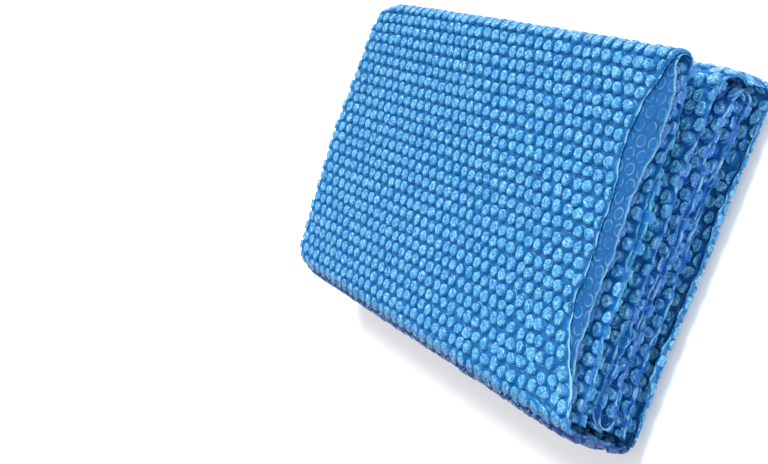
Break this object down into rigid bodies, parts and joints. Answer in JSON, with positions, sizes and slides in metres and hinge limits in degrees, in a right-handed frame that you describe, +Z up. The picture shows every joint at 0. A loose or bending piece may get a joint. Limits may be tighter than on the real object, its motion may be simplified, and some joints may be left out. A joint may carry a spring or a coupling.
{
  "type": "folded solar pool cover",
  "caption": "Bubble film solar pool cover folded into a rectangular bundle, with a front packet that swings open round the spine.",
  "frame": {"origin": "under the middle of the bundle, on the plane its back panel rests on", "axes": "+X towards the open ends of the plies, +Y towards the upper folds, away from the spine, +Z up through the bundle to the front panel"},
  "size_m": [0.4392, 0.2808, 0.0884],
  "materials": {
    "outer_film": "translucent glossy blue polythene film with raised round bubbles",
    "inner_film": "the same film inside the bundle, where less light reaches it"
  },
  "bodies": {
    "back_stack": {"back_panel_lower_ply": "outer_film", "back_panel_upper_ply": "outer_film", "back_panel_side_fold": "outer_film", "inner_leaf_3_lower_ply": "inner_film", "inner_leaf_3_upper_ply": "inner_film", "inner_leaf_3_side_fold": "inner_film", "inner_leaf_2_lower_ply": "inner_film", "inner_leaf_2_upper_ply": "inner_film", "inner_leaf_2_side_fold": "inner_film", "inner_leaf_1_lower_ply": "inner_film", "inner_leaf_1_upper_ply": "inner_film", "inner_leaf_1_side_fold": "inner_film", "inner_top_fold_inside_ply": "inner_film", "inner_top_fold_outside_ply": "inner_film", "inner_spine_fold_inside_ply": "inner_film", "inner_spine_fold_outside_ply": "inner_film", "rear_top_wrap_inside_ply": "outer_film", "rear_top_wrap_outside_ply": "outer_film", "spine_lower_bend_inside_ply": "outer_film", "spine_lower_bend_outside_ply": "outer_film"},
    "spine": {"spine_panel_inside_ply": "outer_film", "spine_panel_outside_ply": "outer_film"},
    "front_packet": {"front_lining_lower_ply": "inner_film", "front_lining_upper_ply": "inner_film", "front_lining_side_fold": "inner_film", "front_panel_lower_ply": "outer_film", "front_panel_upper_ply": "outer_film", "front_panel_side_fold": "outer_film", "front_top_fold_inside_ply": "outer_film", "front_top_fold_outside_ply": "outer_film", "spine_upper_bend_inside_ply": "outer_film", "spine_upper_bend_outside_ply": "outer_film"}
  },
  "joints": [
    {"name": "spine_swing", "type": "hinge", "parent": "back_stack", "child": "spine", "pos_m": [0, -0.1367, 0.0039], "axis": [1, 0, 0], "range_deg": [0, 90], "deforming": ["spine_lower_bend_inside_ply", "spine_lower_bend_outside_ply"]},
    {"name": "front_swing", "type": "hinge", "parent": "spine", "child": "front_packet", "pos_m": [0, -0.1367, 0.072], "axis": [1, 0, 0], "range_deg": [0, 87], "deforming": ["spine_upper_bend_inside_ply", "spine_upper_bend_outside_ply"]}
  ]
}
